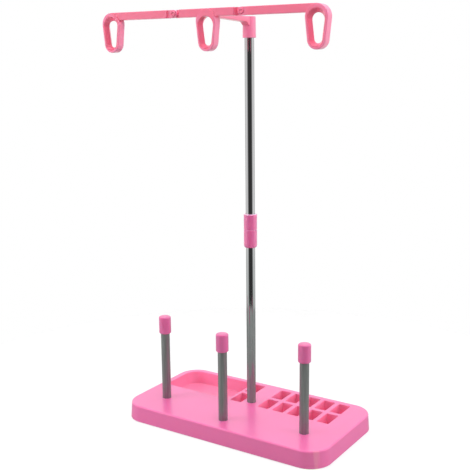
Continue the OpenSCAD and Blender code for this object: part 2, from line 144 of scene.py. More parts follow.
def carried(outline, profile, toCentre=False):
    # A profile of (inset, height) pairs carried round an outline: one row of points for each pair, and
    # with toCentre a last row drawn together at the middle.
    rows = [np.column_stack([outline(inset), np.full(len(outline(inset)), z)]) for inset, z in profile]
    if toCentre:
        rows.append(np.broadcast_to(rows[-1].mean(0), rows[-1].shape))
    points = np.stack(rows)
    return points.reshape(-1, 3), gridFaces(len(rows), points.shape[1]).tolist()


def turned(profile, x, y, closed=True, steps=96):
    # A profile of (radius, height) pairs turned about an upright axis at x, y.
    a = np.linspace(0, 2 * math.pi, steps, endpoint=False)
    radius, z = np.asarray(profile).T
    points = np.stack([x + radius[:, None] * np.cos(a), y + radius[:, None] * np.sin(a),
                       np.broadcast_to(z[:, None], (len(z), steps))], -1)
    return points.reshape(-1, 3), gridFaces(len(z), steps, closed).tolist()


def closedRows(rows):
    # Rows of points joined side by side, with a flat face on the first row and on the last.
    count = rows.shape[1]
    last = (len(rows) - 1) * count
    ends = [list(range(count)), [last + i for i in reversed(range(count))]]
    return rows.reshape(-1, 3), gridFaces(len(rows), count).tolist() + ends


def joined(*shapes):
    # Several (points, faces) shapes as one.
    starts = np.cumsum([0] + [len(points) for points, faces in shapes])
    faces = [[i + start for i in face] for (points, own), start in zip(shapes, starts) for face in own]
    return np.vstack([points for points, own in shapes]), faces


def arc(inset, z, radius, fromAngle, toAngle, steps=6):
    # Points of (inset, height) on a circle about inset, z; angles in degrees.
    a = np.radians(np.linspace(fromAngle, toAngle, steps))
    return list(zip(inset + radius * np.cos(a), z + radius * np.sin(a)))


def insideOutline(outline, points):
    # True where a line from the point towards +x crosses the outline an odd number of times.
    ax, ay = outline.T
    bx, by = np.roll(outline, -1, 0).T
    px, py = points[:, :1], points[:, 1:]
    spans = (ay > py) != (by > py)
    crossing = ax + (py - ay) * (bx - ax) / np.where(by == ay, tiny, by - ay)
    return (spans & (px < crossing)).sum(1) % 2 == 1


def steppedSheet(outlines, heights):
    # Flat pieces at the height of the last outline round them, or none where that height is None,
    # and upright walls where two pieces of different height meet. A wall takes in every height that
    # its ends have, so that no corner lies on another face's edge.
    tolerance = 1e-5  # in mm, the unit in which the plan is cut
    points = np.vstack(outlines) / mm
    starts = np.cumsum([0] + [len(o) for o in outlines])
    edges = [(a + i, a + (i + 1) % (b - a)) for a, b in zip(starts[:-1], starts[1:])
             for i in range(b - a)]
    cut = delaunay_2d_cdt([Vector(p) for p in points], edges, [], 0, tolerance, False)
    flat = np.array([tuple(v) for v in cut[0]]) * mm
    corners = np.array(cut[2])
    middles = flat[corners].mean(1)
    level = np.full(len(corners), np.nan)
    for outline, height in zip(outlines, heights):
        level[insideOutline(outline, middles)] = np.nan if height is None else height
    corners, level = corners[~np.isnan(level)], level[~np.isnan(level)]
    keys = sorted({(int(v), float(z)) for tri, z in zip(corners, level) for v in tri})
    number = {key: i for i, key in enumerate(keys)}
    levelsAt = {}
    for v, z in keys:
        levelsAt.setdefault(v, []).append(z)
    faces = [[number[int(v), float(z)] for v in tri] for tri, z in zip(corners, level)]
    sides = {}
    for tri, z in zip(corners.tolist(), level.tolist()):
        for a, b in ((tri[0], tri[1]), (tri[1], tri[2]), (tri[2], tri[0])):
            sides.setdefault((min(a, b), max(a, b)), []).append(z)
    for (a, b), zs in sides.items():
        if len(zs) == 2 and zs[0] != zs[1]:
            low, high = min(zs), max(zs)
            faces.append([number[a, z] for z in levelsAt[a] if low <= z <= high]
                         + [number[b, z] for z in reversed(levelsAt[b]) if low <= z <= high])
    return np.array([(*flat[v], z) for v, z in keys]), faces


def makePiece(name, shape):
    # An object at the origin from (points, faces).
    points, faces = shape
    mesh = bpy.data.meshes.new(name)
    mesh.from_pydata([tuple(p) for p in points], [], faces)
    return finishMesh(bpy.data.objects.new(name, mesh))


def finishMesh(piece):
    # Doubles merged, faces turned outwards, shading smooth but for the sharp edges.
    work = bmesh.new()
    work.from_mesh(piece.data)
    bmesh.ops.remove_doubles(work, verts=work.verts, dist=mergeDistance)
    bmesh.ops.dissolve_degenerate(work, dist=shortestEdge, edges=work.edges)
    bmesh.ops.recalc_face_normals(work, faces=work.faces)
    work.to_mesh(piece.data)
    openEdges = sum(len(e.link_faces) != 2 for e in work.edges)
    work.free()
    piece.data.shade_smooth()
    piece.data.set_sharp_from_angle(angle=sharpAngle)
    if piece.name not in scene.collection.objects:
        scene.collection.objects.link(piece)
    print("  ", piece.name, len(piece.data.polygons), "faces, open edges:", openEdges)
    return piece


def combine(piece, others, operation):
    # Exact union or difference of closed meshes; the others are used up.
    for other in others:
        step = piece.modifiers.new(operation, "BOOLEAN")
        step.operation, step.solver, step.object = operation, "EXACT", other
    result = bpy.data.meshes.new_from_object(piece.evaluated_get(bpy.context.evaluated_depsgraph_get()))
    piece.modifiers.clear()
    piece.data = result
    for other in others:
        bpy.data.objects.remove(other)
    return finishMesh(piece)


def dress(piece, body, nodes, material):
    # The piece takes its finish, rides on its body and stands for its CAD nodes.
    evenNormals = piece.modifiers.new("evenNormals", "WEIGHTED_NORMAL")
    evenNormals.keep_sharp = True
    piece.data.materials.clear()
    piece.data.materials.append(material)
    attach(piece, body)
    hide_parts(*nodes)
    return piece


# Finishes. The groups hold what several materials share; the shaders stay in the materials.

def newGroup(name, inputs, outputs):
    # An empty group with named sockets, and its two end nodes.
    group = bpy.data.node_groups.new(name, "ShaderNodeTree")
    for socketName, kind, value in inputs:
        socket = group.interface.new_socket(socketName, in_out="INPUT", socket_type=kind)
        socket.default_value = value
    for socketName, kind in outputs:
        group.interface.new_socket(socketName, in_out="OUTPUT", socket_type=kind)
    return group, group.nodes.new("NodeGroupInput"), group.nodes.new("NodeGroupOutput")


def addNode(tree, kind, values=None, **links):
    # A node with its settings, and its inputs linked by name; an underscore stands for a space.
    node = tree.nodes.new(kind)
    for key, value in (values or {}).items():
        if key in node.inputs:
            node.inputs[key].default_value = value
        else:
            setattr(node, key, value)
    for key, source in links.items():
        tree.links.new(source, node.inputs[key.replace("_", " ")])
    return node


def feed(tree, node, *sources):
    # A node's inputs in their order, each linked to a socket, set to a value, or left alone for None.
    for socket, source in zip(node.inputs, sources):
        if isinstance(source, bpy.types.NodeSocket):
            tree.links.new(source, socket)
        elif source is not None:
            socket.default_value = source
    return node.outputs[0]


def calculate(tree, operation, *sources, clamp=False):
    node = addNode(tree, "ShaderNodeMath", {"operation": operation, "use_clamp": clamp})
    return feed(tree, node, *sources)


def mixNumbers(tree, share, first, second):
    # The first where share is 0, the second where it is 1.
    node = addNode(tree, "ShaderNodeMix", {"data_type": "FLOAT"})
    return feed(tree, node, share, None, first, second)


def mixColours(tree, share, first, second):
    # As mixNumbers; a Mix node's colours are its seventh and eighth inputs and its third output.
    node = addNode(tree, "ShaderNodeMix", {"data_type": "RGBA"})
    feed(tree, node, share, None, None, None, None, None, (*first, 1), (*second, 1))
    return node.outputs[2]


def stretchedPlace(group, given):
    # The object's own coordinates, z multiplied by Stretch.
    place = addNode(group, "ShaderNodeTexCoord")
    stretch = addNode(group, "ShaderNodeCombineXYZ", {"X": 1.0, "Y": 1.0}, Z=given.outputs["Stretch"])
    drawn = addNode(group, "ShaderNodeVectorMath", {"operation": "MULTIPLY"})
    return feed(group, drawn, place.outputs["Object"], stretch.outputs[0])


noiseMiddle = 0.5  # the mean of a noise texture's values


def makeSoftTone():
    # Slow drift of a colour about its own value, drawn out along z by Stretch, as in moulded plastic or
    # drawn steel.
    group, given, out = newGroup("softTone", [("Tone", "NodeSocketColor", (1, 1, 1, 1)),
                                              ("Scale", "NodeSocketFloat", 20.0),
                                              ("Stretch", "NodeSocketFloat", 1.0),
                                              ("Drift", "NodeSocketFloat", 0.03)],
                                 [("Tone", "NodeSocketColor")])
    noise = addNode(group, "ShaderNodeTexNoise", {"Detail": 3.0, "Roughness": 0.5},
                    Vector=stretchedPlace(group, given), Scale=given.outputs["Scale"])
    centred = calculate(group, "SUBTRACT", noise.outputs["Fac"], noiseMiddle)
    drift = calculate(group, "MULTIPLY_ADD", centred, given.outputs["Drift"], 1.0)
    scaled = addNode(group, "ShaderNodeVectorMath", {"operation": "SCALE"}, Scale=drift)
    group.links.new(feed(group, scaled, given.outputs["Tone"]), out.inputs["Tone"])
    return group


def makeFineGrain():
    # Fine grain, drawn out along z by Stretch: a height for Bump, and a roughness about its own value.
    group, given, out = newGroup("fineGrain", [("Scale", "NodeSocketFloat", 3000.0),
                                               ("Stretch", "NodeSocketFloat", 1.0),
                                               ("Roughness", "NodeSocketFloat", 0.4),
                                               ("Spread", "NodeSocketFloat", 0.1)],
                                 [("Roughness", "NodeSocketFloat"), ("Height", "NodeSocketFloat")])
    noise = addNode(group, "ShaderNodeTexNoise", {"Detail": 2.0, "Roughness": 0.6},
                    Vector=stretchedPlace(group, given), Scale=given.outputs["Scale"])
    centred = calculate(group, "SUBTRACT", noise.outputs["Fac"], noiseMiddle)
    rough = calculate(group, "MULTIPLY_ADD", centred, given.outputs["Spread"],
                      given.outputs["Roughness"], clamp=True)
    group.links.new(rough, out.inputs["Roughness"])
    group.links.new(noise.outputs["Fac"], out.inputs["Height"])
    return group


softTone, fineGrain = makeSoftTone(), makeFineGrain()


def makeMaterial(name, look):
    # Principled shader whose colour drifts slowly and whose roughness and normal follow the grain. A
    # look with a second colour takes it where the mesh is marked, as painted light; one with a foot is
    # painted darker, greener and less metallic towards the bottom, as a painted dark reflection.
    material = bpy.data.materials.new(name)
    material.use_nodes = True
    tree = material.node_tree
    shader = tree.nodes["Principled BSDF"]
    shader.inputs["Metallic"].default_value = look.get("metallic", 0.0)
    for key, value in look.get("shader", {}).items():
        shader.inputs[key].default_value = value
    tone = addNode(tree, "ShaderNodeGroup",
                   {"node_tree": softTone, "Tone": (*look["colour"], 1), "Scale": look["driftScale"],
                    "Stretch": look.get("driftStretch", 1.0), "Drift": look["drift"]})
    grain = addNode(tree, "ShaderNodeGroup", {"node_tree": fineGrain, **look["grain"]})
    bump = addNode(tree, "ShaderNodeBump", {"Strength": look["bump"], "Distance": look["bumpDepth"]},
                   Height=grain.outputs["Height"])
    # The second colour is painted light: a lighter tone where light falls, glows or glints.
    if "paintedLight" in look:
        marks = addNode(tree, "ShaderNodeAttribute", {"attribute_name": "paintedLight"})
        tree.links.new(mixColours(tree, marks.outputs["Fac"], look["colour"], look["paintedLight"]),
                       tone.inputs["Tone"])
    # The foot paints the steel darker, greener and less metallic towards the bottom: a painted dark
    # reflection.
    if "foot" in look:
        foot = look["foot"]
        place = addNode(tree, "ShaderNodeTexCoord")
        height = addNode(tree, "ShaderNodeSeparateXYZ", Vector=place.outputs["Object"]).outputs["Z"]
        rise = addNode(tree, "ShaderNodeMapRange", {"From Min": foot["low"], "From Max": foot["high"]},
                       Value=height)
        metal = addNode(tree, "ShaderNodeMapRange",
                        {"From Min": foot["low"], "From Max": foot["shineHigh"],
                         "To Min": foot["metallic"], "To Max": look["metallic"]}, Value=height)
        tree.links.new(metal.outputs[0], shader.inputs["Metallic"])
        tree.links.new(mixColours(tree, rise.outputs[0], foot["colour"], look["colour"]),
                       tone.inputs["Tone"])
    tree.links.new(tone.outputs["Tone"], shader.inputs["Base Color"])
    tree.links.new(grain.outputs["Roughness"], shader.inputs["Roughness"])
    tree.links.new(bump.outputs["Normal"], shader.inputs["Normal"])
    return material


pinkPlastic = {
    "driftScale": 30,
    "drift": 0.05,
    "bump": 0.12,
    "bumpDepth": 0.05 * mm,
    "grain": {"Scale": 2600, "Stretch": 1, "Roughness": 0.3, "Spread": 0.1},
    "shader": {"Subsurface Weight": 0.2, "Subsurface Radius": (1.0, 0.2, 0.3),
               "Subsurface Scale": 4 * mm, "Specular IOR Level": 1.0, "Coat Weight": 0.35,
               "Coat Roughness": 0.2},
}
finishes = {
    # The second colour is a painted glow on the walls inside the base.
    "basePlastic": {**pinkPlastic, "colour": (0.96, 0.172, 0.445), "paintedLight": (1.0, 0.27, 0.47)},
    # The base's pink painted darker for the sleeves: painted shade.
    # The second colour is a painted highlight on the sleeves' edges.
    "couplingPlastic": {**pinkPlastic, "colour": (0.86, 0.168, 0.405), "paintedLight": (1.0, 0.52, 0.76)},
    # The base's pink painted darker for the caps: painted shade.
    "capPlastic": {**pinkPlastic, "colour": (0.8, 0.14, 0.38)},
    "guidePlastic": {
        **pinkPlastic,
        "colour": (0.98, 0.182, 0.31),
        # The second colour is painted light on the lugs, the loops' outer sides and the socket.
        "paintedLight": (1.0, 0.24, 0.42),
        "driftScale": 40,
        "bump": 0.1,
        "grain": {**pinkPlastic["grain"], "Roughness": 0.32},
    },
    "mastSteel": {
        "colour": (0.62, 0.62, 0.625),
        "driftScale": 60,
        "drift": 0.08,
        "metallic": 1.0,
        "bump": 0.02,
        "bumpDepth": 0.01 * mm,
        "shader": {"Specular Tint": (0.3, 0.3, 0.3, 1)},
        # Towards the bottom the steel is painted darker, greener and less metallic: a painted dark
        # reflection.
        "foot": {"low": 0.03, "high": 0.22, "shineHigh": 0.12, "colour": (0.25, 0.3, 0.28),
                 "metallic": 0.45},
        "grain": {"Scale": 5000, "Stretch": 0.02, "Roughness": 0.08, "Spread": 0.06},
    },
    "pinSteel": {
        "colour": (0.27, 0.295, 0.282),
        "driftScale": 700,
        "driftStretch": 0.04,
        "drift": 0.7,
        "metallic": 0.7,
        "bump": 0.2,
        "bumpDepth": 0.03 * mm,
        "grain": {"Scale": 4000, "Stretch": 0.03, "Roughness": 0.38, "Spread": 0.3},
    },
    "fastenerSteel": {
        "colour": (0.5, 0.5, 0.51),
        "driftScale": 200,
        "drift": 0.15,
        "metallic": 1.0,
        "bump": 0.1,
        "bumpDepth": 0.02 * mm,
        "grain": {"Scale": 3000, "Stretch": 1, "Roughness": 0.3, "Spread": 0.2},
    },
    "padRubber": {
        "colour": (0.03, 0.03, 0.032),
        "driftScale": 300,
        "drift": 0.3,
        "bump": 0.4,
        "bumpDepth": 0.1 * mm,
        "grain": {"Scale": 1800, "Stretch": 1, "Roughness": 0.75, "Spread": 0.2},
    },
}
materials = {name: makeMaterial(name, look) for name, look in finishes.items()}
print("materials made:", len(materials))


# The base: one moulding with a rounded top edge, a tray and bobbin wells, open underneath.
baseLow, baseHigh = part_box("base")
baseShape = {
    "draft": 1 * mm,
    "cornerRadius": 22.6 * mm,
    "edgeRounding": 1.8 * mm,
    "rimRounding": 0.45 * mm,  # edge of the tray and of the wells
    "floorRounding": 0.8 * mm,
    "wallSlope": 0.2 * mm,  # how far a well's wall leans in from top to floor
    "shell": 2.4 * mm,
    "floorThickness": 2 * mm,
    "floorHeight": 2.7 * mm,  # above the lower rim
    "trayRim": 7.5 * mm,
    "backRim": 7.3 * mm,
    "trayRadii": (10 * mm, 2.5 * mm, 2.5 * mm, 16 * mm),
    "trayRight": -25.8 * mm,
    "wellWidth": 13.2 * mm,
    "wellLength": 23.6 * mm,
    "wellCorner": 0.7 * mm,
    "wellPitch": 17.9 * mm,
    "rowPitch": 28.9 * mm,
    "pairX": -22.4 * mm,
    "gridX": 12.2 * mm,
    "columns": 5,
    "wellWall": 1.8 * mm,
    "socketRadius": 4.77 * mm,
    "socketEdge": 0.2 * mm,
    "bossRadius": 7 * mm,
    "bossFloor": 1.5 * mm,  # under a pin's foot
    "mastBossRadius": 7.5 * mm,
    "mastBossFloor": 2.4 * mm,
    "ribThickness": 1.6 * mm,
    "ribDepth": 9 * mm,
    "ribGap": 0.02 * mm,  # keeps a rib's plan off the cavity's edge
    "innerCorner": 0.1 * mm,
    "padInset": 18.5 * mm,  # from the widest outline
    "padRadius": 6.02 * mm,
    "padRecess": 0.6 * mm,
    "glowFrom": 6 * mm,  # from the widest outline to where the painted glow on the inner walls begins
    "glowDepth": 0.2 * mm,
}
pinNames = ["left", "middle", "right"]


def nodeCentre(node):
    low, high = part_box(node)
    return (low.x + high.x) / 2, (low.y + high.y) / 2


pinPlaces = [nodeCentre(name + "_spool_pin") for name in pinNames]
mastX, mastY = nodeCentre("mast_lower_tube")
padPlaces = [(x, y) for x in (baseLow.x + baseShape["padInset"], baseHigh.x - baseShape["padInset"])
             for y in (baseLow.y + baseShape["padInset"], baseHigh.y - baseShape["padInset"])]


def roundTopEdge(top, radius, steps=7):
    # From the flat top outwards over a quarter circle, as (inset, height) pairs.
    return arc(radius, top - radius, radius, 90, 180, steps)


def wellProfile(s, top, floor):
    # Over the rim, down the leaning wall and round to the floor.
    rim, foot = s["rimRounding"], s["floorRounding"]
    over = arc(-rim, top - rim, rim, 90, 0, 5)
    into = arc(s["wallSlope"] + foot, floor + foot, foot, 180, 270, 5)
    return over + into


def makeBase(s):
    # The outer wall, the top with its mouths, the underside with its cavity, and the lining of the
    # tray, wells and sockets: open sheets that meet edge to edge.
    rim, top = baseLow.z, baseHigh.z
    floor = rim + s["floorHeight"]
    underFloor = floor - s["floorThickness"]
    ceiling = top - s["shell"]
    widest = (baseLow.x, baseHigh.x, baseLow.y, baseHigh.y)
    topBox = [v + d * s["draft"] for v, d in zip(widest, (1, -1, 1, -1))]
    outside = rectangle(*topBox, s["cornerRadius"], 24)
    outerWall = carried(outside, roundTopEdge(top, s["edgeRounding"]) + [(-s["draft"], rim)])
    back = topBox[3] - s["backRim"]
    front = back - s["rowPitch"] - s["wellLength"]
    tray = rectangle(topBox[0] + s["trayRim"], s["trayRight"], front, back, s["trayRadii"], 16)
    wells = [rectangle(x, x + s["wellWidth"], y, y + s["wellLength"], s["wellCorner"], 6)
             for y in (front, front + s["rowPitch"])
             for x in [s["pairX"]] + [s["gridX"] + i * s["wellPitch"] for i in range(s["columns"])]]
    hollows = [tray] + wells
    sockets = [circle(x, y, s["socketRadius"]) for x, y in pinPlaces + [(mastX, mastY)]]
    socketFeet = [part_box(n + "_spool_pin")[0].z for n in pinNames] + [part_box("mast_lower_tube")[0].z]
    rimRounding, socketEdge = s["rimRounding"], s["socketEdge"]
    topSheet = steppedSheet([outside(s["edgeRounding"])] + [h(-rimRounding) for h in hollows]
                            + [o(-socketEdge) for o in sockets],
                            [top] + [None] * (len(hollows) + len(sockets)))
    cavity = rectangle(topBox[0] + s["shell"], topBox[1] - s["shell"], topBox[2] + s["shell"],
                       topBox[3] - s["shell"], s["cornerRadius"] - s["shell"], 16)
    wall, corner = s["wellWall"], s["innerCorner"]
    trayBlock = rectangle(topBox[0] + s["trayRim"] - wall, s["trayRight"] + wall, front - wall,
                          back + wall,
                          (s["trayRadii"][0] + wall, corner, corner, s["trayRadii"][3] + wall), 12)
    gridWidth = (s["columns"] - 1) * s["wellPitch"] + s["wellWidth"]
    blocks = [trayBlock] + [rectangle(x - wall, x + width + wall, front - wall, back + wall, corner, 2)
                            for x, width in ((s["pairX"], s["wellWidth"]), (s["gridX"], gridWidth))]
    thin = s["ribThickness"] / 2
    sideY = pinPlaces[0][1]
    ribFront = topBox[2] + s["shell"] + s["ribGap"]
    ribs = [rectangle(x - thin, x + thin, ribFront, front - wall, corner, 2) for x, y in pinPlaces]
    ribs.append(rectangle(pinPlaces[0][0], pinPlaces[2][0], sideY - thin, sideY + thin, corner, 2))
    bosses = [circle(x, y, s["bossRadius"], 48) for x, y in pinPlaces]
    padBosses = [circle(x, y, s["padRadius"] + wall, 48) for x, y in padPlaces]
    padSeats = [circle(x, y, s["padRadius"], 48) for x, y in padPlaces]
    mastBoss = circle(mastX, mastY, s["mastBossRadius"], 48)
    under = ([(outside(-s["draft"]), rim), (cavity(), ceiling)]
             + [(r(), ceiling - s["ribDepth"]) for r in ribs]
             + [(mastBoss(), socketFeet[3] - s["mastBossFloor"])]
             + [(b(), socketFeet[0] - s["bossFloor"]) for b in bosses]
             + [(b(), underFloor) for b in blocks]
             + [(p(), rim) for p in padBosses] + [(p(), rim + s["padRecess"]) for p in padSeats])
    underside = steppedSheet([o for o, z in under], [z for o, z in under])
    shape = joined(outerWall, topSheet, underside,
                   *[carried(h, wellProfile(s, top, floor), toCentre=True) for h in hollows],
                   *[carried(o, [(-socketEdge, top), (0, top - socketEdge), (0, foot)], toCentre=True)
                     for o, foot in zip(sockets, socketFeet)])
    return makePiece("baseMoulding", shape)


def markPaintedLight(piece, test):
    # Writes test(x, y, z), from 0 to 1, at each vertex: the share of the finish's painted-light colour
    # there.
    count = len(piece.data.vertices)
    places = np.empty(count * 3, np.float32)
    piece.data.vertices.foreach_get("co", places)
    marks = test(*places.reshape(count, 3).T).astype(np.float32)
    piece.data.attributes.new("paintedLight", "FLOAT", "POINT").data.foreach_set("value", marks)
    return piece


def paintedGlowInHollows(x, y, z):
    # Below the top's rim and further in than the outer wall: here the plastic is painted lighter and
    # warmer, a painted glow for light that passes through the thin walls and bounces in the hollows.
    inside = baseShape["glowFrom"]
    return ((z < baseHigh.z - baseShape["glowDepth"])
            & (x > baseLow.x + inside) & (x < baseHigh.x - inside)
            & (y > baseLow.y + inside) & (y < baseHigh.y - inside))


dress(markPaintedLight(makeBase(baseShape), paintedGlowInHollows), "rack", ["base"],
      materials["basePlastic"])
print("base made")

# Rubber pads: short pegs with a rounded lower edge.
padShape = {"radius": 6 * mm, "thickness": 1.2 * mm, "rounding": 0.35 * mm, "upperEdge": 0.1 * mm}


def makePads(s):
    r, t = s["radius"], s["thickness"]
    profile = roundedPath([(0, 0), (r, 0), (r, t), (0, t)], (0, s["rounding"], s["upperEdge"], 0), 5)
    pegs = [turned(profile, x, y, closed=False, steps=48) for x, y in padPlaces]
    return makePiece("padRubbers", joined(*pegs))


dress(makePads(padShape), "rack", ["anti_slip_pads"], materials["padRubber"])
print("pads made")


# Steel tubes: the mast's two lengths and the three spool pins, with lightly broken ends.
tubeShape = {"radius": 4.75 * mm, "wall": 0.8 * mm, "endBreak": 0.15 * mm}


def makeTube(name, node, s):
    low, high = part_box(node)
    r, bore, cut = s["radius"], s["radius"] - s["wall"], s["endBreak"]
    profile = roundedPath([(bore, low.z), (r, low.z), (r, high.z), (bore, high.z)], cut, 4)
    return makePiece(name, turned(profile, *nodeCentre(node), steps=128))


tubes = [("mast_lower_tube", "rack", "mastSteel", "mast_steel"),
         ("mast_upper_tube", "upper_mast", "mastSteel", "mast_steel")]
tubes += [(name + "_spool_pin", "rack", "pinSteel", "pin_steel") for name in pinNames]
for node, body, finish, slotName in tubes:
    dress(makeTube(node + "_steel", node, tubeShape), body, [node], materials[finish])
print("tubes made")

# Pin caps: bevelled below, softly rounded above, with the pin's blind bore.
capShape = {
    "radius": 6.45 * mm,
    "bore": 4.8 * mm,
    "length": 19.2 * mm,
    "end": 4 * mm,
    "bevel": 0.9 * mm,
    "edges": (0.2 * mm, 0.2 * mm, 0.3 * mm, 0.5 * mm),  # from the bore's end out over the bevel
    "rounding": 1.6 * mm,
    "crown": 0.35 * mm,
}


def makeCap(name, node, s):
    # The crown rises to the middle as a parabola: its height falls short by the distance squared.
    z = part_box(node)[0].z
    r, top, boreEnd = s["radius"], z + s["length"], z + s["length"] - s["end"]
    steps = 9
    edge = roundedPath([(s["bore"], boreEnd), (s["bore"], z), (r - s["bevel"], z),
                        (r, z + s["bevel"]), (r, top - s["crown"]), (0, top)],
                       (*s["edges"], s["rounding"], 0), steps)[:-steps]
    side, shoulder = edge[-1]
    crown = [(side * (1 - u), shoulder + (top - shoulder) * (1 - (1 - u) ** 2))
             for u in np.linspace(0, 1, 7)[1:]]
    return makePiece(name, turned(np.vstack([[(0, boreEnd)], edge, crown]), *nodeCentre(node),
                                  closed=False))


for name in pinNames:
    dress(makeCap(name + "PinCap", name + "_pin_cap", capShape), name + "_cap", [name + "_pin_cap"],
          materials["capPlastic"])
print("caps made")

# Coupling sleeves: broken edges at the seam and at the top, a long bevel at the lower end.
sleeveShape = {
    "radius": 6.95 * mm,
    "bore": 4.77 * mm,
    "edge": 0.5 * mm,  # at the seam
    "rim": 0.7 * mm,  # height and depth of the bevel round the top, and the radius it starts with
    "rimDepth": 1.1 * mm,
    "rimStart": 0.2 * mm,
    "bevel": 1.5 * mm,
    "bevelDepth": 0.98 * mm,
    "bevelStart": 1.1 * mm,
    "seamRadii": (0.1 * mm, 0.12 * mm, 0.2 * mm),
    "endRadii": (0.15 * mm, 0.1 * mm),
    "seamHighlight": 0.25,
}


def makeSleeve(name, node, upwards, s):
    low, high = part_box(node)
    seam, end, way, bevel = (low.z, high.z, 1, "rim") if upwards else (high.z, low.z, -1, "bevel")
    r, bore, edge = s["radius"], s["bore"], s["edge"]
    profile = roundedPath([(bore, seam), (r - edge, seam), (r, seam + way * edge),
                           (r, end - way * s[bevel]), (r - s[bevel + "Depth"], end), (bore, end)],
                          (*s["seamRadii"], s[bevel + "Start"], *s["endRadii"]), 6)
    return makePiece(name, turned(profile, *nodeCentre(node)))


def paintedEdgeHighlight(x, y, z):
    # Painted highlight on the edges: full round the top bevel, weaker on both sides of the seam.
    seam, top = (corner.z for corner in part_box("upper_coupling_sleeve"))
    atSeam = abs(z - seam) < sleeveShape["edge"]
    return 1.0 * (z > top - sleeveShape["rim"]) + sleeveShape["seamHighlight"] * atSeam


for name, node, body, upwards in (("lowerSleeve", "lower_coupling_sleeve", "rack", False),
                                  ("upperSleeve", "upper_coupling_sleeve", "upper_mast", True)):
    sleeve = markPaintedLight(makeSleeve(name, node, upwards, sleeveShape), paintedEdgeHighlight)
    dress(sleeve, body, [node], materials["couplingPlastic"])
print("coupling made")


# The guide: a bar in three lengths, each with its thread loop; the outer two fold about the pivots.
guideLow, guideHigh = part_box("right_guide_arm")
pivot = next(Vector(j["pos_m"]) for j in frame["joints"] if j["name"] == "right_arm_fold")
barShape = {
    "height": 7.4 * mm,
    "depth": 8 * mm,
    "rounding": 0.55 * mm,
    "shoulder": 7 * mm,  # from the pivot to the full section
    "lug": 3.2 * mm,
    "lugGap": 0.2 * mm,
    "lugRounding": 0.25 * mm,
    "recess": 0.8 * mm,  # a lug takes the painted light from this far behind the bar's front
    "recessMargin": 0.1 * mm,  # and up to this near the shoulder
    "loopSpacing": 114.7 * mm,
}
loopShape = {
    "height": 38.6 * mm,
    "upperRadius": 11.1 * mm,
    "lowerRadius": 9 * mm,
    "rounding": 0.7 * mm,
    "rim": 2.6 * mm,
    "lip": 2.7 * mm,
    "bridge": 7.6 * mm,
    "endMouthBridge": 4.2 * mm,
    "middleMouthBridge": 7 * mm,
    "flare": 0.25 * mm,  # rounding of the mouths' edges
    "cutterWidth": 2.5,  # of the hole's cutter outside a mouth, in flares
    "cutterReach": 1.5,
    "set": 0.1 * mm,  # how far the loop's top and back lie inside the bar's
    "skin": 1.5 * mm,  # depth to which the loop's outside takes the painted light
}


def loopOutline(centre, upper, lower, top, bottom, steps=40):
    # Two arcs about points on one upright line, joined by their common tangents.
    upperZ, lowerZ = top - upper, bottom + lower
    slant = math.asin((upper - lower) / (upperZ - lowerZ))
    over = np.linspace(-slant, math.pi + slant, steps)
    below = np.linspace(math.pi + slant, 2 * math.pi - slant, steps)
    x = np.concatenate([upper * np.cos(over), lower * np.cos(below)]) + centre
    z = np.concatenate([upperZ + upper * np.sin(over), lowerZ + lower * np.sin(below)])
    return np.stack([x, z], 1)


def acrossY(outlines, ys):
    # Outlines drawn in x and z, each at its own y, joined into a closed body.
    return closedRows(np.stack([np.insert(o, 1, y, axis=1) for o, y in zip(outlines, ys)]))


def makeLoopBody(centre, s):
    # The loop's outer outline, its front and back edges rounded: inset and depth follow quarter
    # circles.
    top, r = guideHigh.z - s["set"], s["rounding"]
    a = np.radians(np.linspace(0, 90, 6))
    inset = np.concatenate([r * (1 - np.sin(a)), r * (1 - np.cos(a))])
    y = np.concatenate([guideLow.y + r * (1 - np.cos(a)), guideHigh.y - s["set"] - r * (1 - np.sin(a))])
    outlines = [loopOutline(centre, s["upperRadius"] - d, s["lowerRadius"] - d, top - d,
                            guideHigh.z - s["height"] + d) for d in inset]
    return makePiece("loopBody", acrossY(outlines, y))


def makeLoopHole(centre, mouthBridge, s):
    # The hole narrows evenly from both mouths to the throat halfway in: t runs from 0 at a mouth to 1
    # at the throat, and a small flare, a quarter circle, opens the mouth's edge.
    top, bottom = guideHigh.z, guideHigh.z - s["height"]
    front, back = guideLow.y, guideHigh.y - s["set"]
    flare = s["flare"]
    t = np.linspace(0, 1, 5)
    half = (back - front) / 2
    edge = np.radians(np.linspace(90, 0, 5))[:-1]
    wide = np.concatenate([[flare * s["cutterWidth"]], flare * np.sin(edge), np.zeros(len(t))])
    depth = np.concatenate([[-flare * s["cutterReach"]], flare * (1 - np.cos(edge)),
                            flare + t * (half - flare)])
    narrowing = np.concatenate([np.zeros(1 + len(edge)), t])
    outlines = [loopOutline(centre, s["upperRadius"] - s["rim"] - n * s["lip"] + w,
                            s["lowerRadius"] - s["rim"] - n * s["lip"] + w,
                            top - mouthBridge - n * (s["bridge"] - mouthBridge) + w,
                            bottom + s["rim"] + n * s["lip"] - w) for n, w in zip(narrowing, wide)]
    ys = np.concatenate([front + depth, (back - depth)[::-1][1:]])
    return makePiece("loopHole", acrossY(outlines + outlines[::-1][1:], ys))


def barSections(stations, roundingSteps=5):
    # A rounded rectangle at each station (x, front y, back y, half height, rounding): every corner is a
    # quarter circle about the corner's own centre.
    x, y0, y1, h, r = np.asarray(stations, float).T[:, :, None]
    middle = guideHigh.z - barShape["height"] / 2
    a = np.radians(np.concatenate([np.linspace(k * 90, k * 90 + 90, roundingSteps) for k in range(4)]))
    signY = np.repeat([1, -1, -1, 1], roundingSteps)
    signZ = np.repeat([1, 1, -1, -1], roundingSteps)
    r = np.minimum(r, np.maximum(h, 0))
    y = (y0 + y1) / 2 + signY * ((y1 - y0) / 2 - r) + r * np.cos(a)
    z = middle + signZ * (h - r) + r * np.sin(a)
    return closedRows(np.stack([np.broadcast_to(x, y.shape), y, z], -1))


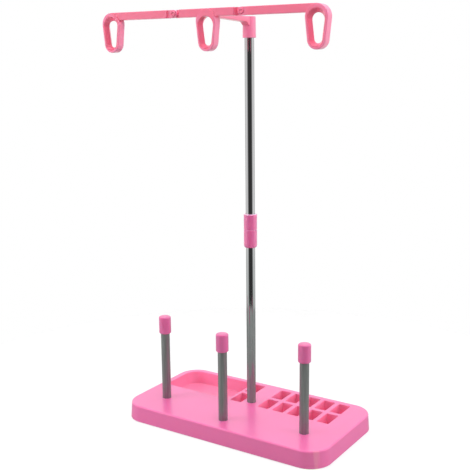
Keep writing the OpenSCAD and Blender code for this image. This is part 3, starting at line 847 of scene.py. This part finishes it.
def lugEnd(x, way, y0, y1, s):
    # The round end of a lug: x and half height follow a half circle about the pivot.
    a = np.radians(np.linspace(0, 90, 16))
    radius = s["height"] / 2
    return [(x - way * radius * math.cos(v), y0, y1, radius * math.sin(v), s["lugRounding"]) for v in a]


def fullEnd(x, way, y0, y1, s):
    # The shoulder of the full section: inset and distance follow a quarter circle.
    r, h = s["rounding"], s["height"] / 2
    a = np.radians(np.linspace(0, 90, 5))
    return [(x + way * r * (1 - math.cos(v)), y0 + r * (1 - math.sin(v)), y1,
             h - r * (1 - math.sin(v)), r) for v in a]


barFront, barBack = guideHigh.y - barShape["depth"], guideHigh.y


def makeSideBar(s):
    lugBack = barBack - s["lug"] - s["lugGap"]
    lugFront = lugBack - s["lug"]
    shoulder = pivot.x + s["shoulder"]
    stations = lugEnd(pivot.x, 1, lugFront, lugBack, s)
    stations += [(shoulder, lugFront, lugBack, s["height"] / 2, s["lugRounding"])]
    stations += fullEnd(shoulder, 1, barFront, barBack, s)
    stations += [(s["loopSpacing"], barFront, barBack, s["height"] / 2, s["rounding"])]
    return makePiece("sideBar", barSections(stations))


def makeMiddleBar(s):
    lugFront = barBack - s["lug"]
    shoulder = pivot.x - s["shoulder"]
    rightHalf = fullEnd(shoulder, -1, barFront, barBack, s)[::-1]
    rightHalf += [(shoulder, lugFront, barBack, s["height"] / 2, s["lugRounding"])]
    rightHalf += lugEnd(pivot.x, -1, lugFront, barBack, s)[::-1]
    leftHalf = [(-row[0], *row[1:]) for row in reversed(rightHalf)]
    return makePiece("middleBar", barSections(leftHalf + rightHalf))


def mirrored(piece, name):
    # The same mesh with every x turned round and its faces set outwards again.
    copy = bpy.data.objects.new(name, piece.data.copy())
    copy.data.transform(Matrix.Scale(-1, 4, (1, 0, 0)))
    return finishMesh(copy)


def withLoop(bar, centre, mouthBridge):
    # The bar with a loop's body joined on, and the loop's hole cut through both.
    whole = combine(bar, [makeLoopBody(centre, loopShape)], "UNION")
    return combine(whole, [makeLoopHole(centre, mouthBridge, loopShape)], "DIFFERENCE")


def inLug(x, y, z):
    # In the thin eyes about the pivots, behind the recess in the bar's front; painted lighter there, as
    # painted light in place of the recess's shade.
    s = barShape
    return (abs(abs(x) - pivot.x) < s["shoulder"] - s["recessMargin"]) & (y > barFront + s["recess"])


def inLoopSide(x, y, z):
    # In a loop's outer skin, beside or below the bar, painted lighter as painted light on the loop's
    # sides. t runs from the lower arc's centre to the upper arc's, the radius goes with it, and the
    # depth is that radius less the distance to the centre.
    s = loopShape
    lowerZ = guideHigh.z - s["height"] + s["lowerRadius"]
    rise = guideHigh.z - s["upperRadius"] - lowerZ
    t = np.clip((z - lowerZ) / rise, 0, 1)
    radius = s["lowerRadius"] + t * (s["upperRadius"] - s["lowerRadius"])
    across = np.minimum(abs(x), abs(abs(x) - barShape["loopSpacing"]))
    depth = radius - np.hypot(across, z - lowerZ - t * rise)
    clearOfBar = (z < guideHigh.z - barShape["height"]) | (abs(x) > barShape["loopSpacing"])
    return (depth < s["skin"]) & clearOfBar


rightArm = withLoop(makeSideBar(barShape), barShape["loopSpacing"], loopShape["endMouthBridge"])
markPaintedLight(rightArm, lambda *at: inLug(*at) | inLoopSide(*at))
rightArm.name = "rightArm"
leftArm = mirrored(rightArm, "leftArm")
dress(rightArm, "right_arm", ["right_guide_arm"], materials["guidePlastic"])
dress(leftArm, "left_arm", ["left_guide_arm"], materials["guidePlastic"])
print("side arms made")

# The head: a slightly tapered socket with a closed top, and an arm with a web that carries the bar.
headShape = {
    "socketRadius": 6.75 * mm,
    "taper": 0.35 * mm,
    "socketLength": 20.6 * mm,
    "socketEnd": 2.5 * mm,
    "bore": 4.8 * mm,
    "boreRadii": (0.3 * mm, 0.3 * mm, 0.4 * mm),  # at the bore's end, its mouth and the lower rim
    "rounding": 0.6 * mm,
    "paintedLightReach": 0.3 * mm,  # how far round the socket the painted light goes
    "armWidth": 8 * mm,
    "armRounding": 0.5 * mm,
    "armRadii": np.array([0.1, 0.1, 0.1, 0.5, 6, 3, 0.1]) * mm,  # of the side view's corners
    "armSink": 0.05 * mm,  # of the arm's top below the socket's
    "armRoot": 2 * mm,  # from the mast's axis
    "tipThickness": 2.6 * mm,
    "tipSink": 1.2 * mm,  # of the tip into the bar
    "rootThickness": 5.4 * mm,
    "web": 3.2 * mm,
    "barRise": 4.7 * mm,
}


def makeSocket(s):
    top = guideHigh.z - s["barRise"]
    low = top - s["socketLength"]
    r = s["socketRadius"]
    inner = top - s["socketEnd"]
    steps = 6
    profile = roundedPath([(0, inner), (s["bore"], inner), (s["bore"], low), (r, low),
                           (r - s["taper"], top), (0, top)],
                          (0, *s["boreRadii"], s["rounding"], 0), steps)[steps:-steps]
    profile = np.vstack([[(0, inner)], profile, [(0, top)]])
    return makePiece("socket", turned(profile, mastX, mastY, closed=False))


def makeBracketArm(s):
    # The side view's outline carried across the arm's width and drawn in at both edges.
    top = guideHigh.z - s["barRise"] - s["armSink"]
    under = top - s["rootThickness"]
    root, face, tip = mastY - s["armRoot"], mastY - s["socketRadius"], barBack - s["tipSink"]
    corners = np.array([(root, top), (tip, top), (tip, top - s["tipThickness"]),
                        (barBack, top - s["tipThickness"]), (face - s["web"], under),
                        (face, under - s["web"]), (root, under - s["web"])])
    r, half = s["armRounding"], s["armWidth"] / 2
    a = np.radians(np.linspace(0, 90, 4))
    inset = np.concatenate([r * (1 - np.sin(a)), r * (1 - np.sin(a[::-1]))])
    x = np.concatenate([-half + r * (1 - np.cos(a)), half - r * (1 - np.cos(a[::-1]))])
    rows = []
    for d, across in zip(inset, x):
        drawn = corners.copy()
        drawn[:2, 1] -= d
        drawn[2:, 1] += d
        outline = roundedPath(drawn, s["armRadii"], 6)
        rows.append(np.column_stack([np.full(len(outline), across), outline]))
    return makePiece("bracketArm", closedRows(np.stack(rows)))


def makeHead():
    head = withLoop(makeMiddleBar(barShape), 0.0, loopShape["middleMouthBridge"])
    bracket = combine(makeSocket(headShape), [makeBracketArm(headShape)], "UNION")
    head = combine(head, [bracket], "UNION")
    head.name = "guideHead"
    return head


def inHeadPaintedLight(x, y, z):
    # On the socket, in the lugs, and in the loop's skin where it isn't the bracket's: all painted
    # lighter, as painted light.
    onSocket = np.hypot(x - mastX, y - mastY) < headShape["socketRadius"] + headShape["paintedLightReach"]
    return onSocket | inLug(x, y, z) | (inLoopSide(x, y, z) & (y < barBack))


head = markPaintedLight(makeHead(), inHeadPaintedLight)
dress(head, "guide_head", ["guide_head"], materials["guidePlastic"])
print("guide head made")

# Pivots of the folding joints: a shank with a low head at each end, a dimple in the front one, along y.
rivetShape = {
    "radius": 1.5 * mm,
    "headRadius": 2.8 * mm,
    "headHeight": 1 * mm,
    "faceRadius": 2.3 * mm,
    "dimpleRadius": 1.5 * mm,
    "dimpleDepth": 0.5 * mm,
    "edges": np.array([0.4, 0.2, 0.4, 0.1, 0.1, 0.1, 0.1, 0.4]) * mm,  # from dimple to back
}


def makeRivet(name, node, s):
    # Turned about an upright axis at the origin, then laid along y.
    low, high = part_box(node)
    r, head, face, h = s["radius"], s["headRadius"], s["faceRadius"], s["headHeight"]
    dimple, floor = s["dimpleRadius"], low.y + s["dimpleDepth"]
    steps = 5
    profile = roundedPath([(0, floor), (dimple, floor), (dimple, low.y), (face, low.y),
                           (head, low.y + h), (r, low.y + h), (r, high.y - h), (head, high.y - h),
                           (face, high.y), (0, high.y)],
                          (0, *s["edges"], 0), steps)[steps - 1:1 - steps]
    points, faces = turned(profile, 0, 0, closed=False, steps=48)
    x = (low.x + high.x) / 2
    placed = np.stack([points[:, 0] + x, points[:, 2], points[:, 1] + pivot.z], 1)
    return makePiece(name, (placed, faces))


for side in ("left", "right"):
    dress(makeRivet(side + "Rivet", side + "_arm_rivet", rivetShape), "guide_head",
          [side + "_arm_rivet"], materials["guidePlastic"])

# The hidden fasteners keep their own CAD shapes.
for node in ("mast_foot_insert", "mast_screw", "mast_washer", "coupling_spigot"):
    steelNode = frame["nodes"][node]
    steelNode.data.materials.clear()
    steelNode.data.materials.append(materials["fastenerSteel"])
print("rivets and fasteners dressed")


# Studio: a pale round floor, a surround, and soft light from above and from both sides.
studio = {
    "floorRadius": 0.42,
    "floorColour": (0.4, 0.4, 0.4, 1),
    "floorLift": 0.63,  # added to the floor as the camera sees it
    "floorGlossyLift": 0.03,  # added to the floor as metal sees it
    "backdrop": 1.0,
    "surround": 0.4,  # light from the sides and from behind
    "frontLevel": 0.0,  # light from the camera's side
    "frontRange": (0.1, 0.95),  # cosines to the camera's side between which one turns into the other
    "glossyStops": ((0.0, 0.97), (0.3, 0.97), (0.45, 0.95), (0.7, 0.8075), (0.8, 0.3325), (0.88, 0.05),
                    (1.0, 0.05)),  # what metal sees, from behind (0) to the camera's side (1)
    "aim": (0, 0, 0.15),
}


def makeFloor(s):
    # A matt disc with a share of light of its own, which depends on what kind of ray meets it.
    shape = carried(circle(0, 0, s["floorRadius"], 96), [(0, 0)], toCentre=True)
    floor = makePiece("floorDisc", shape)
    if floor.data.polygons[0].normal.z < 0:
        floor.data.flip_normals()
    material = bpy.data.materials.new("paleFloor")
    material.use_nodes = True
    tree = material.node_tree
    tree.nodes.clear()
    path = addNode(tree, "ShaderNodeLightPath").outputs
    matt = addNode(tree, "ShaderNodeBsdfDiffuse", {"Color": s["floorColour"]})
    seen = calculate(tree, "MAXIMUM", path["Is Camera Ray"], path["Is Transmission Ray"])
    inMetal = calculate(tree, "MULTIPLY", path["Is Glossy Ray"], s["floorGlossyLift"])
    lift = calculate(tree, "MULTIPLY_ADD", seen, s["floorLift"], inMetal)
    glow = addNode(tree, "ShaderNodeEmission", {"Color": (1, 1, 1, 1)}, Strength=lift)
    both = feed(tree, addNode(tree, "ShaderNodeAddShader"), matt.outputs[0], glow.outputs[0])
    addNode(tree, "ShaderNodeOutputMaterial", Surface=both)
    floor.data.materials.append(material)


def makeWorld(s):
    # The surround's level goes with the direction's cosine to the camera's side: a soft step for
    # light, a row of stops for metal, and the plain backdrop for the camera.
    world = bpy.data.worlds.new("studioSurround")
    scene.world = world
    world.use_nodes = True
    tree = world.node_tree
    tree.nodes.clear()
    azimuth = math.radians(cameraView["azimuth"])
    place = addNode(tree, "ShaderNodeTexCoord")
    facing = addNode(tree, "ShaderNodeVectorMath", {"operation": "DOT_PRODUCT"})
    feed(tree, facing, place.outputs["Generated"], (math.sin(azimuth), -math.cos(azimuth), 0))
    towards = facing.outputs["Value"]
    start, end = s["frontRange"]
    soft = addNode(tree, "ShaderNodeMapRange",
                   {"interpolation_type": "SMOOTHSTEP", "From Min": start, "From Max": end,
                    "To Min": s["surround"], "To Max": s["frontLevel"]}, Value=towards)
    along = addNode(tree, "ShaderNodeMapRange", {"From Min": -1.0, "From Max": 1.0}, Value=towards)
    sharp = addNode(tree, "ShaderNodeValToRGB", Fac=along.outputs[0])
    stops = sharp.color_ramp.elements
    while len(stops) < len(s["glossyStops"]):
        stops.new(0.5)
    for stop, (position, shade) in zip(stops, s["glossyStops"]):
        stop.position = position
        stop.color = (shade, shade, shade, 1)
    path = addNode(tree, "ShaderNodeLightPath").outputs
    light = mixNumbers(tree, path["Is Glossy Ray"], soft.outputs[0], sharp.outputs[0])
    seen = calculate(tree, "MAXIMUM", path["Is Camera Ray"], path["Is Transmission Ray"])
    level = mixNumbers(tree, seen, light, s["backdrop"])
    background = addNode(tree, "ShaderNodeBackground", {"Color": (1, 1, 1, 1)}, Strength=level)
    addNode(tree, "ShaderNodeOutputWorld", Surface=background.outputs[0])


softboxes = [
    {"name": "overhead", "place": (-0.1, 0.1, 1.3), "size": 1.0, "power": 6.7},
    {"name": "leftKey", "place": (-0.45, -0.5, 0.95), "size": 0.5, "power": 0.6},
    {"name": "rightFill", "place": (2.7, -0.1, 1.1), "size": 1.6, "power": 18.0},
    {"name": "guideFill", "place": (0.3, -0.42, 0.78), "size": 0.35, "power": 2.15},
    {"name": "leftLow", "place": (-0.5, -0.45, 0.25), "size": 0.35, "power": 2.15},
    {"name": "rightLow", "place": (0.7, 0.2, 0.3), "size": 0.4, "power": 1.7},
]


def makeSoftbox(s):
    data = bpy.data.lights.new(s["name"], "AREA")
    data.shape, data.size, data.energy = "SQUARE", s["size"], s["power"]
    lamp = bpy.data.objects.new(s["name"], data)
    lamp.visible_glossy = False  # what metal and gloss show is the surround alone
    aim = Vector(studio["aim"]) - Vector(s["place"])
    turn = aim.to_track_quat("-Z", "Y").to_matrix().to_4x4()
    lamp.matrix_world = Matrix.Translation(s["place"]) @ turn
    scene.collection.objects.link(lamp)


makeFloor(studio)
makeWorld(studio)
for box in softboxes:
    makeSoftbox(box)
print("studio lit")
